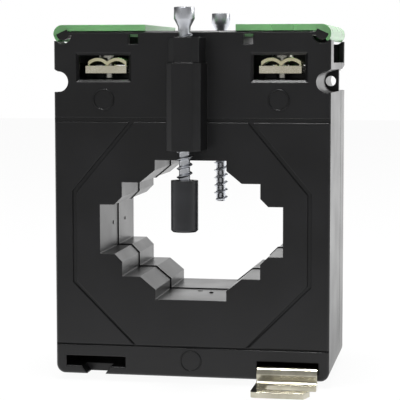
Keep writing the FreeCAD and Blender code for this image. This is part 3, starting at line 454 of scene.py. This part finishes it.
def ringRib(name, x, z, s):
    # ring of radius R about the mark's middle; its section is a low half wave of width w and height h
    turn = np.linspace(0, 2 * pi, s["aroundCount"], endpoint=False)
    part = np.linspace(0, pi, s["acrossCount"])
    a, p = np.meshgrid(turn, part)
    radius = s["radiusMm"] - s["wideMm"] / 2 * np.cos(p)
    out = faceY / mm - s["sunkMm"] + s["highMm"] * np.sin(p)
    points = np.stack([x + radius * np.cos(a), -out, z + radius * np.sin(a)], axis=-1) * mm
    return addPiece(gridMesh(name, points, closeAround=True, closeAlong=True), caseBlack, smoothAngle=60)


def pinNub(name, middle, out, radius, high, s):
    # dome: at a share p of the radius R the height is H * sqrt(1 - p^2); the wall hides its flat underside
    out = np.array(out, dtype=float)
    side = np.array([0.0, 1.0, 0.0])
    third = np.cross(out, side)
    turn = np.linspace(0, 2 * pi, s["aroundCount"], endpoint=False)
    share = np.array([0] + s["shares"])
    level = np.concatenate([[-s["sunkMm"]] * 2, high * np.sqrt(1 - share[2:] ** 2)])
    a, p = np.meshgrid(turn, share)
    h = np.repeat(level[:, None], len(turn), axis=1)[..., None]
    flat = radius * p[..., None] * (np.cos(a)[..., None] * side + np.sin(a)[..., None] * third)
    points = (np.array(middle) + flat + h * out) * mm
    return addPiece(gridMesh(name, points, closeAround=True), caseBlack, smoothAngle=60)


marks = [ringRib("ring_mark_%d" % n, x, z, ringMark) for n, (x, z) in enumerate(ringMark["places"], start=1)]
marks += [pinNub("pin_mark_%d" % n, *place, pinMark) for n, place in enumerate(pinMark["places"], start=1)]
for mark in marks:
    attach(mark, "housing")
print("ring marks on the front face, pin marks in the window")


# Lip round the window, where the tube's rear part begins

windowLip = {
    # a quarter of the stepped outline about the window's middle
    "quarterMm": [(41, 11), (34.5, 11), (31, 14.5), (31, 21), (22.8, 21), (16, 26.55), (16, 31)],
    "frontMm": 0.8,        # just behind the gap between the tube's two parts
    "flatMm": 0.8,
    "slopeMm": 1.6,
    "highMm": 0.45,
    "sunkMm": 0.05,
}


def outlineLip(name, s):
    # The lip follows the outline. At a corner its height h moves it in by h * (n1 + n2) / (1 + n1 . n2),
    # where n1 and n2 are the inward normals of the two sides.
    corners = []
    for across, up in ((1, 1), (-1, 1), (-1, -1), (1, -1)):
        quarter = s["quarterMm"] if across * up > 0 else s["quarterMm"][::-1]
        corners += [(across * x, up * z) for x, z in quarter]
    outline = np.array(corners, dtype=float)
    along = np.roll(outline, -1, axis=0) - outline
    along /= np.linalg.norm(along, axis=1, keepdims=True)
    after = np.stack([-along[:, 1], along[:, 0]], axis=1)
    before = np.roll(after, 1, axis=0)
    mitre = (before + after) / (1 + (before * after).sum(axis=1, keepdims=True))
    flatEnd = s["frontMm"] + s["flatMm"]
    section = [
        (s["frontMm"], -s["sunkMm"]), (s["frontMm"], s["highMm"]),
        (flatEnd, s["highMm"]), (flatEnd + s["slopeMm"], -s["sunkMm"]),
    ]
    rings = []
    for y, high in section:
        ring = outline + mitre * high
        rings.append(np.stack([ring[:, 0], np.full(len(ring), y), ring[:, 1] + windowZ / mm], axis=1))
    points = np.stack(rings, axis=1) * mm
    return addPiece(gridMesh(name, points, closeAround=True, closeAlong=True), lipBlack, smoothAngle=30)


lip = outlineLip("window_lip", windowLip)
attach(lip, "housing")
print("lip round the window")


# Cheeks that close the covers' rolled ends in front of the hinge rods

cheek = {
    "hingeMm": (57.5, 154.9),   # middle of the hinge rod, on the right side
    "radiusMm": 4.0,
    "chordMm": 1.0,             # straight lower edge, measured from the hinge
    "leanDegrees": 25,          # how far the cheek leans outwards
    "thickMm": 0.4,
    "alongCount": 25,
}


def endCheek(name, side, end, s):
    # Segment of a disc: at the angle p its edge stands R * sin(p) above the hinge, down to the straight
    # edge at the height c, and R * cos(p) along it; p runs from asin(c / R) to pi - asin(c / R).
    low = np.arcsin(s["chordMm"] / s["radiusMm"])
    count = s["alongCount"]
    p = np.linspace(low, pi - low, count)
    along = np.repeat((s["radiusMm"] * np.cos(p))[:, None], 4, axis=1)
    rim = s["radiusMm"] * np.sin(p)
    straight = np.full(count, s["chordMm"])
    high = np.stack([straight, rim, rim, straight], axis=1)
    near, far = faceY / mm, faceY / mm + s["thickMm"]
    out = end * np.repeat([[near, near, far, far]], count, axis=0)
    t = radians(s["leanDegrees"])
    across = side * (s["hingeMm"][0] + along * cos(t) + high * sin(t))
    up = s["hingeMm"][1] - along * sin(t) + high * cos(t)
    points = np.stack([across, out, up], axis=-1) * mm
    return addPiece(gridMesh(name, points, closeAround=True), coverGreen, smoothAngle=40)


for terminal, side in (("s1", -1), ("s2", 1)):
    for place, end in (("front", -1), ("rear", 1)):
        piece = endCheek("cover_cheek_%s_%s" % (terminal, place), side, end, cheek)
        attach(piece, "cover_body_" + terminal)
print("cheeks on the covers")


# Stage, light and camera

stage = {
    "floorColour": "#f4f4f4", "size": 6.0, "whiteShare": 0.94,
    "mirrored": 3.0,       # how bright a reflection of the sweep behind the object is
    # what a reflection sees of the floor, from reach metres in front of the object (0) to as far behind (1)
    "reach": 1.0,
    "stops": [(0.0, "#707070"), (0.3, "#747474"), (0.46, "#a4a4a4"), (0.54, "#a8a8a8"), (0.85, "#c8c8c8")],
}
room = {
    "light": 0.42,         # what falls on the object from all round
    "mirrored": 3.0,       # how bright a reflection of the white sweep right behind the object is
    # what a reflection sees along Y, from the camera's side (0) to right behind the object (1)
    "stops": [(0.0, "#707070"), (0.35, "#484848"), (0.6, "#2a2a2a"), (0.93, "#303030"), (0.98, "#c4c4c4")],
}
lights = {
    # name: place, size in metres, watts
    "key": ((-0.75, -1.0, 1.15), 0.9, 3),
    "top": ((0.0, -0.12, 1.25), 0.3, 14),
    "right": ((1.1, 0.45, 0.5), 0.7, 5),
}
cameraFit = {
    "azimuth": 10.214, "elevation": 5.182, "roll": -0.043,     # degrees
    "distance": 0.713535, "across": -0.001855, "up": 0.010515,  # metres from the middle of the window
    "focalPixels": 1543.0, "framePixels": 400,
}


def seenShare(tree):
    # 1 for what the camera sees, directly or through clear plastic
    path = addNode(tree, "ShaderNodeLightPath").outputs
    return addNode(tree, "ShaderNodeMath", {
        0: path["Is Camera Ray"], 1: path["Is Transmission Ray"]}, operation="MAXIMUM").outputs[0]


def mirroredTone(tree, kind, place, reach, s):
    # what a reflection sees, toned along Y from -reach to reach
    parts = addNode(tree, "ShaderNodeSeparateXYZ", {"Vector": place})
    along = addNode(tree, "ShaderNodeMapRange", {
        "Value": parts.outputs["Y"], "From Min": -reach, "From Max": reach})
    tone = addNode(tree, "ShaderNodeValToRGB", {"Fac": along.outputs["Result"]}, s["stops"])
    return addNode(tree, kind, {"Color": tone.outputs["Color"], "Strength": s["mirrored"]}).outputs[0]


def addFloor(s):
    half = s["size"] / 2
    mesh = bpy.data.meshes.new("floor")
    corners = [(-half, -half, 0), (half, -half, 0), (half, half, 0), (-half, half, 0)]
    mesh.from_pydata(corners, [], [(0, 1, 2, 3)])
    floor = bpy.data.objects.new("floor", mesh)
    bpy.context.scene.collection.objects.link(floor)
    material, tree = newMaterial("PaleStudioFloor")
    lit = addNode(tree, "ShaderNodeBsdfDiffuse", {"Color": toLinear(s["floorColour"])})
    glow = addNode(tree, "ShaderNodeEmission", {"Color": (1, 1, 1, 1), "Strength": 1.0})
    share = addNode(tree, "ShaderNodeMath", {0: seenShare(tree), 1: s["whiteShare"]}, operation="MULTIPLY")
    seen = addNode(tree, "ShaderNodeMixShader", {0: share.outputs[0], 1: lit.outputs[0], 2: glow.outputs[0]})
    place = addNode(tree, "ShaderNodeTexCoord").outputs["Object"]
    mirrored = mirroredTone(tree, "ShaderNodeEmission", place, s["reach"], s)
    glossy = addNode(tree, "ShaderNodeLightPath").outputs["Is Glossy Ray"]
    shader = addNode(tree, "ShaderNodeMixShader", {0: glossy, 1: seen.outputs[0], 2: mirrored})
    addNode(tree, "ShaderNodeOutputMaterial", {"Surface": shader.outputs[0]})
    mesh.materials.append(material)


def setWorld(s):
    # white for the camera; even and softer as light; reflections see a dim room with the white sweep behind
    world = bpy.data.worlds.new("studio")
    bpy.context.scene.world = world
    world.use_nodes = True
    tree = world.node_tree
    tree.nodes.clear()
    direction = addNode(tree, "ShaderNodeTexCoord").outputs["Generated"]
    mirrored = mirroredTone(tree, "ShaderNodeBackground", direction, 1.0, s)
    soft = addNode(tree, "ShaderNodeBackground", {"Color": (1, 1, 1, 1), "Strength": s["light"]})
    white = addNode(tree, "ShaderNodeBackground", {"Color": (1, 1, 1, 1), "Strength": 1.0})
    glossy = addNode(tree, "ShaderNodeLightPath").outputs["Is Glossy Ray"]
    lit = addNode(tree, "ShaderNodeMixShader", {0: glossy, 1: soft.outputs[0], 2: mirrored})
    seen = addNode(tree, "ShaderNodeMixShader", {0: seenShare(tree), 1: lit.outputs[0], 2: white.outputs[0]})
    addNode(tree, "ShaderNodeOutputWorld", {"Surface": seen.outputs[0]})


def addLight(name, place, size, watts):
    lamp = bpy.data.lights.new(name, "AREA")
    lamp.shape, lamp.size, lamp.energy = "SQUARE", size, watts
    holder = bpy.data.objects.new(name, lamp)
    bpy.context.scene.collection.objects.link(holder)
    holder.location = place
    holder.rotation_euler = (Vector((0, 0, windowZ)) - Vector(place)).to_track_quat("-Z", "Y").to_euler()


def addCamera(s):
    # camera axes from azimuth, elevation and roll; its place is measured along them
    a, e, r = (radians(s[key]) for key in ("azimuth", "elevation", "roll"))
    back = Vector((sin(a) * cos(e), -cos(a) * cos(e), sin(e)))
    right = Vector((0, 0, 1)).cross(back).normalized()
    up = back.cross(right)
    right, up = cos(r) * right + sin(r) * up, cos(r) * up - sin(r) * right
    place = Vector((0, 0, windowZ)) + back * s["distance"] + right * s["across"] + up * s["up"]
    lens = bpy.data.cameras.new("camera")
    lens.sensor_width = 36
    lens.lens = s["focalPixels"] / s["framePixels"] * lens.sensor_width
    holder = bpy.data.objects.new("camera", lens)
    bpy.context.scene.collection.objects.link(holder)
    holder.matrix_world = Matrix((
        (right[0], up[0], back[0], place[0]),
        (right[1], up[1], back[1], place[1]),
        (right[2], up[2], back[2], place[2]),
        (0, 0, 0, 1),
    ))
    bpy.context.scene.camera = holder


addFloor(stage)
setWorld(room)
for name, (place, size, watts) in lights.items():
    addLight(name, place, size, watts)
addCamera(cameraFit)
bpy.context.scene.view_settings.view_transform = "Standard"
print("stage, lights and camera set")
